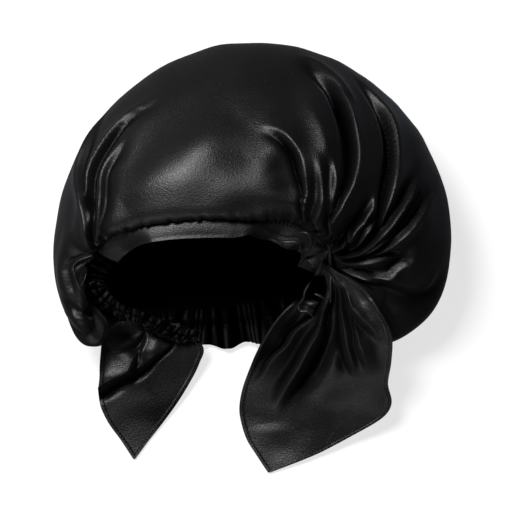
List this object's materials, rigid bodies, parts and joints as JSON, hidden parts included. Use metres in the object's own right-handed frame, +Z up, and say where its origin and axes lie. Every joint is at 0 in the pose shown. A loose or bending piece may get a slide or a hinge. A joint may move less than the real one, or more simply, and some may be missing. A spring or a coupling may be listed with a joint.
{
  "type": "sleep bonnet",
  "caption": "Puffed satin sleep bonnet lying open, with a stitched front band, a gathered elastic casing at the nape and two wide pointed tie tails.",
  "frame": {"origin": "on the flat underside of the crown, where it is pressed onto the surface, under the middle of the head hollow", "axes": "+Z up from the surface, +Y from the face opening to the back of the crown, +X across towards the wider tie"},
  "size_m": [0.3016, 0.3236, 0.1432],
  "materials": {
    "crown_satin": "black satin with a soft sheen",
    "band_satin": "black satin, doubled and stitched",
    "tie_satin": "black satin with a narrow stitched hem"
  },
  "bodies": {
    "root": {"crown": "crown_satin", "front_band": "band_satin", "nape_casing": "band_satin", "tie_right": "tie_satin", "tie_left": "tie_satin"}
  },
  "joints": []
}
